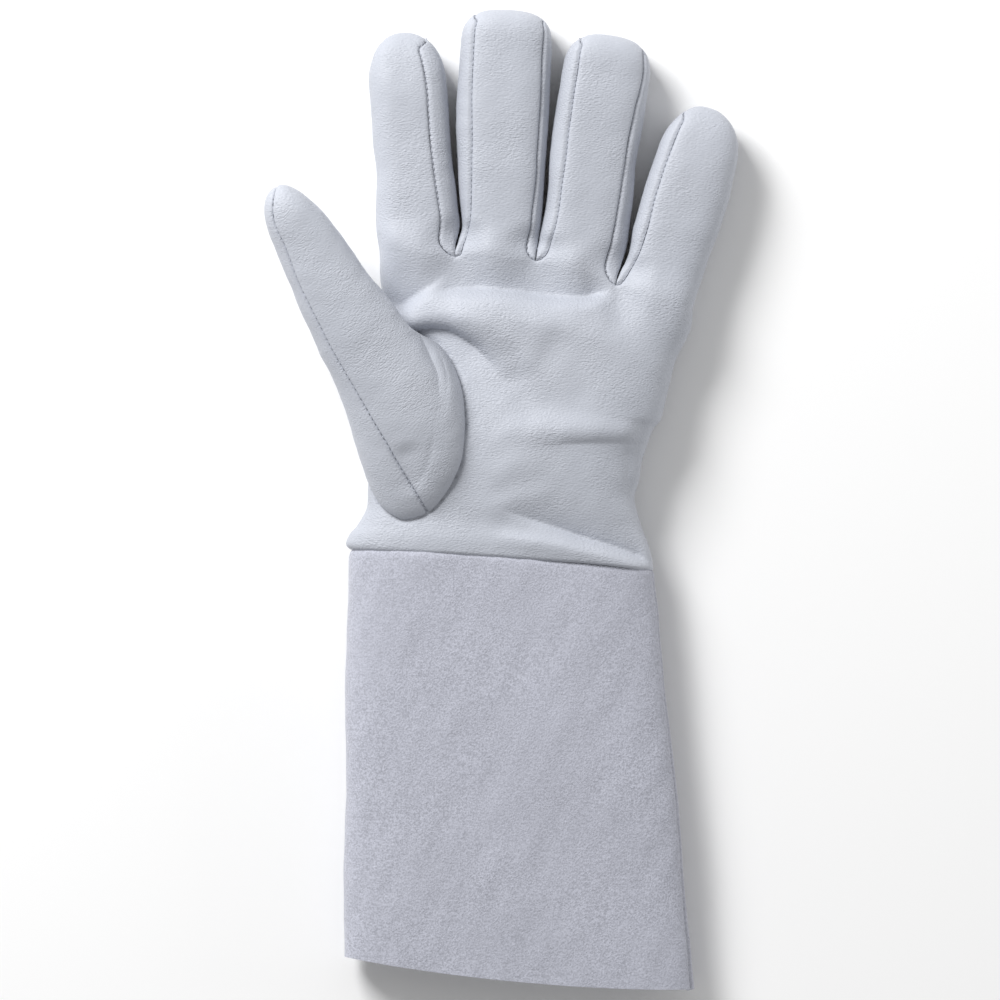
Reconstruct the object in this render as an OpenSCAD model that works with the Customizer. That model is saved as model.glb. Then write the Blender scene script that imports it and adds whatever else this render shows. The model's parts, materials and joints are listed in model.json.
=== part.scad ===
// Left-hand gauntlet glove of grain leather with a long split-leather cuff.
// It lies palm up: +Z is up, +Y runs along the fingers, +X points to the little finger side.
// The origin is on the surface, under the middle of the glove. Lengths are in millimetres.

/* [Leather] */
// Thickness of the grain leather of the hand
hand_leather = 1.0; // [0.8:0.1:1.2]
// Thickness of the split leather of the cuff
cuff_leather = 1.4; // [1.2:0.1:1.6]
// Gap drawn between neighbouring panels
seam_gap = 0.3; // [0.2:0.05:0.4]
// Distance from one stitch to the next
stitch_pitch = 3; // [2:0.5:5]

/* [Fingers] */
// Length of the index finger from its root
index_len = 83; // [78:1:86]
// Length of the middle finger from its root
middle_len = 93.2; // [86:0.1:95]
// Length of the ring finger from its root
ring_len = 90; // [84:1:93]
// Length of the little finger from its root
little_len = 74; // [70:1:77]
// Greatest width of the index and little fingers
slim_finger_w = 29.6; // [28:0.2:30]
// Greatest width of the middle and ring fingers
wide_finger_w = 32.6; // [31:0.2:33]
// Thickness of a finger, back to palm side
finger_thick = 23; // [21:0.5:24]
// Distance from a finger's root to its knuckle hinge
knuckle_at = 10; // [9:0.5:11]

/* [Thumb] */
// Length of the thumb from the web
thumb_len = 76; // [72:1:80]
// Width of the thumb at the web
thumb_root_w = 33; // [31:0.5:34]
// Width of the thumb near its tip
thumb_tip_w = 22; // [21:0.5:24]
// How far the thumb leans away from the fingers, in degrees
thumb_lean = 30; // [26:1:32]

/* [Hand] */
// Thickness of the palm at its fullest
palm_thick = 34; // [32:1:36]
// Where the hand leather starts to bend at the wrist
wrist_y = -6; // [-7:0.5:-5]

/* [Cuff] */
// Width of the cuff at its mouth
mouth_w = 129.5; // [125:0.5:132]
// Width of the cuff at the wrist seam
wrist_w = 112; // [110:0.5:114]
// Thickness of the flattened cuff at the wrist
cuff_thick = 28; // [26:1:29]
// Thickness of the flattened cuff at its mouth
mouth_thick = 24; // [20:1:26]
// Width of the wrist elastic
elastic_w = 8; // [6:1:9]

/* [Hidden] */
FINGER_NAMES = ["index", "middle", "ring", "little"];

grain_colour = [0.80, 0.82, 0.86];
suede_colour = [0.68, 0.70, 0.75];
thread_colour = [0.86, 0.86, 0.88];

INDEX = 0;
MIDDLE = 1;
RING = 2;
LITTLE = 3;

// Each finger: root centre x, width at the root, lean towards the little finger, hinge of its
// middle joint from the root, length, greatest width, lean of its hinges. The hinges are nearly
// parallel, so that the fingers curl beside each other.
FINGERS = [
    [-30.6, 25.8, -3.7, 35, index_len, slim_finger_w, -1.2],
    [-1.9, 27.0, 2.6, 37, middle_len, wide_finger_w, 0.8],
    [27.8, 26.6, 8.2, 36, ring_len, wide_finger_w - 0.8, 2],
    [56.9, 26.0, 16, 31, little_len, slim_finger_w, 5]];

knuckle_thick = 26;        // the hand at the roots of the fingers
wrist_thick = 28;          // the hand where the wrist starts
knuckle_reach = 7.8;       // from a knuckle hinge to the rigid leather past it
joint_reach = 8.7;         // the same at a finger's middle joint
tip_round = 14;            // length over which a fingertip rounds off
panel_edge = 45;           // angle round a section at which the front panel ends
gap_turn = 0.6;            // angle left at each panel's edge, for the seam gap

thumb_root = [-44.5, 50];  // middle of the thumb level with the web
thumb_z = 29.5;            // height of the thumb's middle at the web
thumb_rise = 0.12;         // how much the thumb rises for each millimetre along it
thumb_hinge = 12;          // root hinge, along the thumb
thumb_joint = 46;          // middle joint, along the thumb
thumb_thick = 26;
thumb_hinge_reach = 6;
thumb_joint_reach = 7.4;

// ---- curves ----
function mix(a, b, t) = a + (b - a) * t;
function ease(t) = t <= 0 ? 0 : t >= 1 ? 1 : t * t * (3 - 2 * t);
function bow(v, k) = sign(v) * pow(abs(v), k);
function unit(p) = p / norm(p);
function steps(a, b, n) = [for (i = [0:n]) mix(a, b, i / n)];

// Height of a point round a section: full above, pressed flat where it lies on the surface.
function lying(h, off, a, k, press) =
    sin(a) >= 0 ? (h - off) * bow(sin(a), k)
                : -min(h - off, (press * h - off) * pow(abs(sin(a)), k));

// ---- leather shells ----
function quad(a, b, c, d) = [[a, b, c], [a, c, d]];

// A wall between an outer and an inner grid of points, each a list of rows.
module wall(outer, inner, around = false) {
    rows = len(outer);
    cols = len(outer[0]);
    last = around ? cols - 1 : cols - 2;
    function id(i, j, side) = side * rows * cols + i * cols + (j % cols);
    polyhedron(
        points = concat([for (r = outer, p = r) p], [for (r = inner, p = r) p]),
        faces = concat(
            [for (i = [0:rows - 2], j = [0:last])
                each quad(id(i, j, 0), id(i, j + 1, 0), id(i + 1, j + 1, 0), id(i + 1, j, 0))],
            [for (i = [0:rows - 2], j = [0:last])
                each quad(id(i, j, 1), id(i + 1, j, 1), id(i + 1, j + 1, 1), id(i, j + 1, 1))],
            [for (j = [0:last])
                each quad(id(0, j + 1, 0), id(0, j, 0), id(0, j, 1), id(0, j + 1, 1))],
            [for (j = [0:last])
                each quad(id(rows - 1, j, 0), id(rows - 1, j + 1, 0),
                          id(rows - 1, j + 1, 1), id(rows - 1, j, 1))],
            around ? [] : [for (i = [0:rows - 2])
                each quad(id(i, 0, 0), id(i + 1, 0, 0), id(i + 1, 0, 1), id(i, 0, 1))],
            around ? [] : [for (i = [0:rows - 2])
                each quad(id(i + 1, cols - 1, 0), id(i, cols - 1, 0),
                          id(i, cols - 1, 1), id(i + 1, cols - 1, 1))]));
}

// ---- hand ----
// The roots of the fingers lie on this line, whose corners are the finger crotches.
KNUCKLE_LINE = [[-45, 91], [-16.8, 88.5], [13, 87], [42.4, 78], [72, 69]];
// Left edge, right edge and thickness of the hand, from the wrist to the knuckles.
HAND_LEFT = [[0, -51.5], [0.12, -48.7], [0.35, -47], [0.6, -45], [1, -44.4]];
HAND_RIGHT = [[0, 51], [0.12, 51.2], [0.35, 57], [0.6, 64], [0.85, 69], [1, 71.3]];
HAND_THICK = [[0, wrist_thick], [0.35, palm_thick], [0.6, palm_thick], [1, knuckle_thick]];
hand_square = 0.67;
hand_press = 1.2;

function knuckle_y(x) = lookup(x, KNUCKLE_LINE);
function hand_point(v, a, off) =
    let (l = lookup(v, HAND_LEFT), r = lookup(v, HAND_RIGHT), h = lookup(v, HAND_THICK) / 2,
         x = (l + r) / 2 + ((r - l) / 2 - off) * bow(cos(a), hand_square))
    [x, mix(wrist_y, knuckle_y(x) - seam_gap, v), h + lying(h, off, a, hand_square, hand_press)];
function hand_grid(vs, as, off) = [for (v = vs) [for (a = as) hand_point(v, a, off)]];

// Angle at which the palm panel ends beside the thumb, from the wrist to the knuckles.
PALM_LEFT = [[0, 114], [0.12, 105], [0.38, 102], [0.55, 107], [0.68, 118], [0.82, 134], [1, 134.4]];
// Angle at which the folded edge of the hand stops under the thumb.
FOLD_TOP = [[0, 150], [0.06, 178], [0.12, 184], [0.76, 184], [0.86, 140], [1, 135.6]];

module palm() {
    vs = steps(0.003, 1, 12);
    a0 = panel_edge + gap_turn;
    function strip(off) = [for (v = vs) [for (a = steps(a0, lookup(v, PALM_LEFT), 8))
                           hand_point(v, a, off)]];
    color(grain_colour) wall(strip(0), strip(hand_leather));
}

module hand_back() {
    as = steps(225 + gap_turn, 315 - gap_turn, 8);
    vs = steps(0, 1, 8);
    color(grain_colour) wall(hand_grid(vs, as, 0), hand_grid(vs, as, hand_leather));
}

module hand_fold() {
    vs = steps(0, 1, 12);
    function strip(off) = [for (v = vs) [for (a = steps(lookup(v, FOLD_TOP), 225 - gap_turn, 5))
                           hand_point(v, a, off)]];
    color(grain_colour) wall(strip(0), strip(hand_leather));
}

module hand_side() {
    as = steps(-45 + gap_turn, 45 - gap_turn, 6);
    vs = steps(0, 1, 8);
    color(grain_colour) wall(hand_grid(vs, as, 0), hand_grid(vs, as, hand_leather));
}

// A band across the inside of the hand's back, centred on the narrowest place of the wrist.
module wrist_band(width, spread, off, thick) {
    v_mid = 0.065;
    v_half = width / 2 / (knuckle_y(0) - wrist_y);
    vs = [v_mid - v_half, v_mid + v_half];
    as = steps(270 - spread, 270 + spread, 10);
    wall(hand_grid(vs, as, off), hand_grid(vs, as, off + thick));
}

module wrist_elastic() {
    color("white") wrist_band(elastic_w, 34, hand_leather + 0.15, 0.9);
}

module elastic_casing() {
    color("gainsboro") wrist_band(elastic_w + 3, 36, hand_leather + 1.25, 0.5);
}

// ---- fingers ----
function dir(lean) = [sin(lean), cos(lean), 0];
function across(lean) = [cos(lean), -sin(lean), 0];
function root_of(f) = let (x = FINGERS[f][0]) [x, knuckle_y(x), 0];
function finger_w(f, s) =
    mix(FINGERS[f][1], FINGERS[f][5], ease(s / (0.5 * FINGERS[f][4])));
function finger_h(s) = mix(knuckle_thick, finger_thick, ease(s / knuckle_at)) / 2;
// Sections are parallel to the hinges up to the middle joint, and square to the finger at its tip.
function turn_of(f, s) = mix(FINGERS[f][6], FINGERS[f][2], ease((s - upper_start(f)) / 22));
finger_square = 0.78;
finger_press = 1.1;

// A point of a finger: s along it, a round it; k shrinks the section at the tip.
function finger_point(f, s, a, off, k = 1) =
    let (w = finger_w(f, s) / 2, h = finger_h(s), lean = FINGERS[f][2])
    root_of(f) + s * dir(lean) + k * (w - off) * bow(cos(a), finger_square) * across(turn_of(f, s))
        + [0, 0, h + k * lying(h, off, a, finger_square, finger_press)];

function finger_rows(f, s0, s1, n, as, off) =
    [for (s = steps(s0, s1, n)) [for (a = as) finger_point(f, s, a, off)]];
function tip_rows(f, as, off) =
    [for (turn = [24, 46, 64, 78, 88])
        [for (a = as) finger_point(f, FINGERS[f][4] - off - tip_round * (1 - sin(turn)), a, off,
                                   pow(cos(turn), 0.6))]];

// First row of a knuckle sleeve: it lies along the knuckle line.
function root_row(f, as, off) =
    let (x = FINGERS[f][0], half = FINGERS[f][1] / 2, h = knuckle_thick / 2,
         l = [x - half, knuckle_y(x - half), 0], r = [x + half, knuckle_y(x + half), 0])
    [for (a = as) (l + r) / 2 + (half - off) * bow(cos(a), finger_square) * unit(r - l)
                  + [0, seam_gap / 2, h + lying(h, off, a, finger_square, finger_press)]];

round_turns = steps(0, 342, 19);
function joint_at(f) = FINGERS[f][3];
function lower_start(f) = knuckle_at + knuckle_reach;
function lower_end(f) = joint_at(f) - joint_reach;
function upper_start(f) = joint_at(f) + joint_reach;

module knuckle_sleeve(f) {
    s1 = lower_start(f) - seam_gap;
    function skin(off) = concat([root_row(f, round_turns, off)],
                                finger_rows(f, 5, s1, 2, round_turns, off));
    color(grain_colour) wall(skin(0), skin(hand_leather), around = true);
}

module joint_sleeve(f) {
    s0 = lower_end(f) + seam_gap;
    s1 = upper_start(f) - seam_gap;
    function skin(off) = finger_rows(f, s0, s1, 2, round_turns, off);
    color(grain_colour) wall(skin(0), skin(hand_leather), around = true);
}

module lower_strip(f, a0, a1, n) {
    as = steps(a0 + gap_turn, a1 - gap_turn, n);
    function skin(off) = finger_rows(f, lower_start(f), lower_end(f), 1, as, off);
    wall(skin(0), skin(hand_leather));
}

// The index finger's outer side is its left one, the little finger's its right one: there the
// hand leather goes round the finger in one piece, and elsewhere a fourchette closes the side.
module lower_leather(f) {
    color(grain_colour) {
        lower_strip(f, panel_edge, f == INDEX ? 315 : 180 - panel_edge, f == INDEX ? 14 : 5);
        if (f == LITTLE) lower_strip(f, 225, 405, 10);
        else if (f != INDEX) lower_strip(f, 225, 315, 5);
    }
}

module lower_fourchette(f) {
    color(grain_colour) {
        if (f != INDEX) lower_strip(f, 135, 225, 5);
        if (f != LITTLE) lower_strip(f, -45, 45, 5);
    }
}

module upper_panel(f, a0, a1) {
    as = steps(a0 + gap_turn, a1 - gap_turn, 5);
    s1 = FINGERS[f][4] - tip_round;
    function skin(off) = concat(finger_rows(f, upper_start(f), s1 - off, 2, as, off),
                                tip_rows(f, as, off));
    color(grain_colour) wall(skin(0), skin(hand_leather));
}

// The fold of a fourchette between two fingers, standing in the crotch.
module crotch(left, right) {
    x = (FINGERS[left][0] + FINGERS[left][1] / 2 + FINGERS[right][0] - FINGERS[right][1] / 2) / 2;
    lean = (FINGERS[left][2] + FINGERS[right][2]) / 2;
    half = 0.8;
    arm = 2.6;
    color(grain_colour) translate([x, knuckle_y(x) + 1.3, 5]) rotate(-lean)
        linear_extrude(finger_thick - 8) difference() {
            union() {
                circle(r = half, $fn = 24);
                translate([-half, 0]) square([2 * half, arm]);
            }
            translate([-0.1, 0]) square([0.2, arm + 1]);
        }
}

// ---- thumb ----
thumb_dir = dir(-thumb_lean);
thumb_across = across(-thumb_lean);
function thumb_w(s) = mix(thumb_root_w, thumb_tip_w, ease(s / 58));
function thumb_h(s) = mix(thumb_thick, thumb_tip_w, ease(s / 60)) / 2;
thumb_square = 0.85;
function thumb_point(s, a, off, k = 1) =
    [thumb_root[0], thumb_root[1], thumb_z] + s * (thumb_dir + [0, 0, thumb_rise])
        + k * (thumb_w(s) / 2 - off) * bow(cos(a), thumb_square) * thumb_across
        + [0, 0, k * (thumb_h(s) - off) * bow(sin(a), thumb_square)];
function thumb_rows(s0, s1, n, as, off) =
    [for (s = steps(s0, s1, n)) [for (a = as) thumb_point(s, a, off)]];

// The mouth of the thumb in the hand: a keystone that is highest on the palm side.
base_centre = [-30.5, 27.5, 28.2];
base_half = [16.3, 32, 7.5];
fold_dip = 5;
function mouth_point(turn, inset = 0) =
    base_centre + [(base_half[0] - inset) * cos(turn), (base_half[1] - inset) * sin(turn),
                   base_half[2] * cos(turn) - fold_dip * pow(max(0, -cos(turn)), 2)];
// Where round the mouth each angle of the thumb's own section starts.
MOUTH_TURN = [[0, 90], [90, 0], [135, -70], [180, -130], [225, -185], [270, -222], [315, -248],
              [360, -270]];

// The points of a closed ring grid moved inwards by the leather's thickness.
function inwards(grid, off) =
    let (rows = len(grid), cols = len(grid[0]))
    [for (i = [0:rows - 1]) [for (j = [0:cols - 1])
        let (along = grid[min(i + 1, rows - 1)][j] - grid[max(i - 1, 0)][j],
             round = grid[i][(j + 1) % cols] - grid[i][(j + cols - 1) % cols])
        grid[i][j] - off * unit(cross(along, round))]];

module thumb_base() {
    end = thumb_hinge - thumb_hinge_reach - 0.7;
    swell = 2.5;
    skin = [for (t = [0, 0.35, 0.7, 1]) [for (a = round_turns)
        mix(mouth_point(lookup(a, MOUTH_TURN)), thumb_point(end, a, 0), t)
        + [0, 0, 4 * t * (1 - t) * swell * max(0, sin(a))]]];
    color(grain_colour) wall(skin, inwards(skin, hand_leather), around = true);
}

module thumb_base_stitches() {
    round = 2 * PI * (base_half[0] + base_half[1]) / 2;
    count = floor(round / stitch_pitch);
    color(thread_colour) for (i = [0:count - 1])
        translate(mouth_point(360 * i / count, 4) - [0, 0, 1])
            rotate(90 + 360 * i / count) cube([1.6, 0.5, 0.5], center = true);
}

module thumb_root_sleeve() {
    function skin(off) = thumb_rows(thumb_hinge - thumb_hinge_reach + seam_gap,
        thumb_hinge + thumb_hinge_reach - seam_gap, 2, round_turns, off);
    color(grain_colour) wall(skin(0), skin(hand_leather), around = true);
}

module thumb_joint_sleeve() {
    function skin(off) = thumb_rows(thumb_joint - thumb_joint_reach + seam_gap,
        thumb_joint + thumb_joint_reach - seam_gap, 2, round_turns, off);
    color(grain_colour) wall(skin(0), skin(hand_leather), around = true);
}

// The front panel wraps the palm side of the thumb; the narrow back panel closes it outside.
thumb_seams = [-60, 150];
module thumb_lower(a0, a1, n) {
    as = steps(a0 + gap_turn, a1 - gap_turn, n);
    function skin(off) = thumb_rows(thumb_hinge + thumb_hinge_reach,
        thumb_joint - thumb_joint_reach, 2, as, off);
    color(grain_colour) wall(skin(0), skin(hand_leather));
}

module thumb_upper(a0, a1, n) {
    as = steps(a0 + gap_turn, a1 - gap_turn, n);
    round = 11;
    function tip(off) = [for (turn = [28, 52, 72, 87]) [for (a = as)
        thumb_point(thumb_len - off - round * (1 - sin(turn)), a, off, pow(cos(turn), 0.65))]];
    function skin(off) = concat(thumb_rows(thumb_joint + thumb_joint_reach,
        thumb_len - round - off, 1, as, off), tip(off));
    color(grain_colour) wall(skin(0), skin(hand_leather));
}

// ---- cuff ----
cuff_left_top = -55.3;
cuff_left_end = -57.6;
seam_drop = 7.4;         // how much lower the wrist seam is on the little finger side
mouth_y = -181;          // the lowest corner of the mouth
mouth_slope = 15.2;      // how much higher the other corner is
function seam_y(x) = -19 - seam_drop * pow(max(0, (x - cuff_left_top) / wrist_w), 1.6);
function cuff_mouth(x) =
    mouth_y + mouth_slope * pow(max(0, (cuff_left_end + mouth_w - x) / mouth_w), 2);
function cuff_point(v, a, off) =
    let (l = mix(cuff_left_top, cuff_left_end, v),
         w = mix(wrist_w, mouth_w, v) / 2, h = mix(cuff_thick, mouth_thick, ease(v)) / 2,
         x = l + w + (w - off) * bow(cos(a), hand_square))
    [x, mix(seam_y(x), cuff_mouth(x), v), h + lying(h, off, a, hand_square, hand_press)];
function cuff_grid(vs, as, off) = [for (v = vs) [for (a = as) cuff_point(v, a, off)]];

// The rows run from the wrist to the mouth, so the columns run the other way round.
module cuff_strip(a0, a1, n) {
    as = steps(a1 - gap_turn, a0 + gap_turn, n);
    vs = steps(0, 1, 8);
    color(suede_colour) wall(cuff_grid(vs, as, 0), cuff_grid(vs, as, cuff_leather));
}

module cuff_label() {
    as = steps(281, 259, 3);
    vs = [0.80, 0.96];
    off = cuff_leather + 0.2;
    color("white") wall(cuff_grid(vs, as, off), cuff_grid(vs, as, off + 0.4));
}

module wrist_seam_stitches() {
    round = 2 * wrist_w + 2 * cuff_thick;
    count = floor(round / stitch_pitch / 2) * 2;
    color(thread_colour) for (i = [0:count - 1]) {
        a = 360 * (i + 0.5) / count;
        p = cuff_point(0.02, a, cuff_leather + 0.9);
        q = cuff_point(0.02, a + 1, cuff_leather + 0.9);
        translate(p) rotate([0, atan2(p[2] - q[2], q[0] - p[0]), 0])
            cube([1.6, 0.5, 0.5], center = true);
    }
}

module cuff_side_stitches() {
    long = seam_y(60) - mouth_y;
    count = floor(long / stitch_pitch);
    color(thread_colour) for (i = [1:count - 1])
        translate(cuff_point(0.03 + 0.96 * i / count, -8, cuff_leather + 1))
            cube([0.5, 1.6, 0.5], center = true);
}

// The hand leather between the wrist bend and the cuff.
module wrist_leather() {
    rows = [0, 0.5, 1];
    function skin(off) = [for (t = rows) [for (a = round_turns)
        mix(cuff_point(0, a, off) + [0, seam_gap, 0],
            hand_point(0, a, off) - [0, seam_gap, 0], t)]];
    color(grain_colour) wall(skin(0), skin(hand_leather), around = true);
}

palm();
hand_back();
hand_fold();
hand_side();
wrist_leather();
wrist_elastic();
elastic_casing();
crotch(INDEX, MIDDLE);  // crotch_index_middle
crotch(MIDDLE, RING);  // crotch_middle_ring
crotch(RING, LITTLE);  // crotch_ring_little
thumb_base();
thumb_base_stitches();
thumb_root_sleeve();
thumb_lower(thumb_seams[0], thumb_seams[1], 11);  // thumb_lower_front
thumb_lower(thumb_seams[1], 300, 8);  // thumb_lower_back
thumb_joint_sleeve();
thumb_upper(thumb_seams[0], thumb_seams[1], 11);  // thumb_upper_front
thumb_upper(thumb_seams[1], 300, 8);  // thumb_upper_back
for (f = [INDEX:LITTLE]) {
    name = FINGER_NAMES[f];
    knuckle_sleeve(f);
    lower_leather(f);
    lower_fourchette(f);
    joint_sleeve(f);
    upper_panel(f, 45, 135);
    upper_panel(f, 225, 315);
    upper_panel(f, 135, 225);
    upper_panel(f, -45, 45);
}
cuff_strip(45, 135, 8);  // cuff_front
cuff_strip(225, 315, 8);  // cuff_back
cuff_strip(135, 225, 6);  // cuff_fold
cuff_strip(-45, 45, 6);  // cuff_side
cuff_label();
wrist_seam_stitches();
cuff_side_stitches();
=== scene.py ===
"""Looks of a left-hand welding glove that lies palm up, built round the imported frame.

Lengths are in millimetres in the frame's own axes until a mesh is made: +X points to the little
finger, +Y along the fingers and +Z up, out of the palm. A grid is an array of points (row, column, 3).
"""
import json
import math

import bpy
import numpy as np
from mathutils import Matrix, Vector, kdtree


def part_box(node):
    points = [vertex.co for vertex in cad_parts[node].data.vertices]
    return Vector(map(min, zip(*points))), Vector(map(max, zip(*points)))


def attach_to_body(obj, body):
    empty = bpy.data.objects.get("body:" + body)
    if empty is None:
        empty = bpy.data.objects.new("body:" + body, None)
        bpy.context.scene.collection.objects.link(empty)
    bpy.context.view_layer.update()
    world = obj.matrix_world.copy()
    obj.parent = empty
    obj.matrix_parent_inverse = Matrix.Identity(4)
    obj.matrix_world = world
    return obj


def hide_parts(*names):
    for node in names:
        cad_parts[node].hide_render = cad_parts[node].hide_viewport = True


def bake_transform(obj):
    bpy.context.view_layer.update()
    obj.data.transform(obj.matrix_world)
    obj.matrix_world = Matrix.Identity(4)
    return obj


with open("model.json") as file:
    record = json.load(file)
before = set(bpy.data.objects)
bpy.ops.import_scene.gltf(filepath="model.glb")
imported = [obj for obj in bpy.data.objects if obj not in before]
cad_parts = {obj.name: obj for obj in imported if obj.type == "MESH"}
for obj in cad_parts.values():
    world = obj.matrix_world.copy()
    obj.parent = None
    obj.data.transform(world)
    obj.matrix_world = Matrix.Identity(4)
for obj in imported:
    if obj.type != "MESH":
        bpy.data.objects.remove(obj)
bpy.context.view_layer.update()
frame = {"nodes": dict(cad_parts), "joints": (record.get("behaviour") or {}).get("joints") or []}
JOINTS = {j["name"]: j for j in frame["joints"]}
MM = 0.001

GRAIN_LEATHER = 1.0      # thickness of the hand's leather
SUEDE = 1.4              # thickness of the cuff's leather
SEAM_ROUND = 1.5         # how far from a seam the leather starts to roll into it
SEAM_DEEP = 1.0          # how deep the roll goes
STITCH_PITCH = 2.1
STITCH_LONG = 1.35
STITCH_THICK = 0.42
PUCKER_PITCH = 3.8       # from one small gather to the next along a seam
CUFF_TUCK = 1.6          # how far the cuff reaches under the hand's edge
CROTCH_RISE = 1.0        # from the low end of a crotch's fold to the lowest point of its seam
CROTCH_SHIFT = 1.2       # how far a finger's rows lie ahead of the line through the crotches
KNUCKLE_AT = 10          # from a finger's root to its knuckle hinge
KNUCKLE_ZONE = 20        # the knuckle's zone reaches this far from the root
JOINT_ZONE = 11.5        # and this far each side of a middle joint
WELD = 0.002             # points this close to each other are one
UP = [0, 0, 1]


# ---------- numbers and curves ----------

def mix(a, b, t):
    return a + (b - a) * t


def ease(t):
    t = np.clip(t, 0, 1)
    return t * t * (3 - 2 * t)


def rolled(t):
    """Depth of a quarter-round edge at t from its lowest place: 1 there and 0 from t = 1 on."""
    return 1 - np.sqrt(1 - np.clip(1 - t, 0, 1)**2)


def unit(v):
    return v / np.linalg.norm(v)


def boxy(v, power):
    """A power of a number that keeps its sign."""
    return np.sign(v) * abs(v)**power


def units(rows):
    return rows / np.linalg.norm(rows, axis=1, keepdims=True)


def smooth(points, t):
    """Value at t of a smooth curve through (t, value) points, without overshoot."""
    x, y = np.array(points, float).T
    t = np.clip(np.asarray(t, float), x[0], x[-1])
    slope = np.diff(y) / np.diff(x)
    joined = slope[:-1] * slope[1:]
    total = np.where(joined > 0, slope[:-1] + slope[1:], 1)
    bend = np.concatenate([[slope[0]], np.where(joined > 0, 2 * joined / total, 0), [slope[-1]]])
    i = np.clip(np.searchsorted(x, t, side="right") - 1, 0, len(x) - 2)
    wide = x[i + 1] - x[i]
    u = (t - x[i]) / wide
    return ((2 * u**3 - 3 * u**2 + 1) * y[i] + (u**3 - 2 * u**2 + u) * wide * bend[i]
            + (3 * u**2 - 2 * u**3) * y[i + 1] + (u**3 - u**2) * wide * bend[i + 1])


def lengths(line):
    """Distance along a line of points, at each of them."""
    return np.concatenate([[0], np.cumsum(np.linalg.norm(np.diff(line, axis=0), axis=1))])


def along(line, places, low=0.0, high=None):
    """Points of a line at these shares of its length from low to high."""
    run = lengths(line)
    high = run[-1] if high is None else high
    at = mix(low, high, np.asarray(places))
    return np.stack([np.interp(at, run, line[:, k]) for k in range(line.shape[1])], axis=1)


def spread(count, pull=0.45):
    """Places from 0 to 1, closer together at both ends."""
    t = np.linspace(0, 1, count)
    return mix(t, (1 - np.cos(np.pi * t)) / 2, pull)


def curve(points, count=60):
    """A smooth line through a few points."""
    points = np.array(points, float)
    run = lengths(points)
    t = np.linspace(0, run[-1], count)
    return np.stack([smooth(np.stack([run, points[:, k]], 1), t) for k in range(points.shape[1])], 1)


def waves(points, size, seed, count=7):
    """Smooth, even unevenness from -1 to 1 with bumps about size long."""
    rng = np.random.default_rng(seed)
    total = np.zeros(len(points))
    for _ in range(count):
        way = unit(rng.normal(size=3)) * 2 * np.pi / (size * rng.uniform(0.7, 1.5))
        total += np.sin(points @ way + rng.uniform(0, 2 * np.pi))
    return total / math.sqrt(count)


def from_line(points, line):
    """Signed distance in plan from a line, positive on its left, and the share of it passed."""
    p = points[:, None, :2]
    a, b = line[:-1, :2], line[1:, :2]
    step = b - a
    t = np.clip(((p - a) * step).sum(2) / (step**2).sum(1), 0, 1)
    off = p - (a + t[..., None] * step)
    far = np.linalg.norm(off, axis=2)
    i = far.argmin(1)
    rows = np.arange(len(points))
    side = step[i, 0] * off[rows, i, 1] - step[i, 1] * off[rows, i, 0]
    return np.where(side >= 0, 1, -1) * far[rows, i], (i + t[rows, i]) / len(a)


# ---------- places taken from the frame ----------

def joint_place(name):
    return np.array(JOINTS[name]["pos_m"], float) / MM


def node_points(name):
    return np.array([v.co for v in frame["nodes"][name].data.vertices], float) / MM


def crotch_place(name):
    low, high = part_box(name)
    return np.array([(low.x + high.x) / 2, low.y + CROTCH_RISE * MM]) / MM


CROTCHES = [crotch_place("crotch_" + n) for n in ("index_middle", "middle_ring", "ring_little")]
KNUCKLES = np.array([[-44.6, 92.3], *CROTCHES, [71.4, 70.8]])   # the line of the fingers' roots
SEAM_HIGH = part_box("cuff_fold")[1].y / MM                       # wrist seam, index side
SEAM_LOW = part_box("wrist_leather")[0].y / MM - 0.2              # and little finger side
WRIST_LEFT, WRIST_WIDE = -55.3, 112
ELASTIC_BOX = [list(corner / MM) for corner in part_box("wrist_elastic")]
CASING_BOX = [list(corner / MM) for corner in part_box("elastic_casing")]
ELASTIC_Y = (ELASTIC_BOX[0][1] + ELASTIC_BOX[1][1]) / 2
GATHER_PITCH = 5.4       # from one gather over the elastic to the next


# ---------- fingers ----------

FINGER_MIDDLE = 11.6     # height of the middle of a finger's section
FINGER_TOP = 23.4        # and of its crown
ROOT_TOP = 25.6          # and of its crown at the root
ROOT_LONG = 15           # the hand's shape turns into the finger's over this length
ROOT_WALL = 20           # height of a fourchette's straight wall at the crotch
TIP_DROP = 1.2           # how far the crown comes down towards the tip
TIP_DROP_LONG = 30       # and over which length
TIP_PAST = 0.6           # how far the leather's tip lies past the CAD tip
FINGER_POWER = 0.64      # how boxy a section is: 1 is an ellipse
OPEN_POWER = 1.0         # the same at the root, beside a crotch
WRAP_POWER = 0.66        # and where the leather wraps the side
HALF_COUNT = 60          # points from the crown to a section's widest place
TIP_ROWS = 5             # rows over the tip, where front and back are sewn to each other
STRIP = spread(31)       # columns of a finger's front or back
SIDE_STRIP = spread(17)  # and of a fourchette


def tip_rows(start, long):
    """Distances over a round tip."""
    return start + long * np.sin(np.linspace(0, np.pi / 2, 18)[1:])


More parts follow.
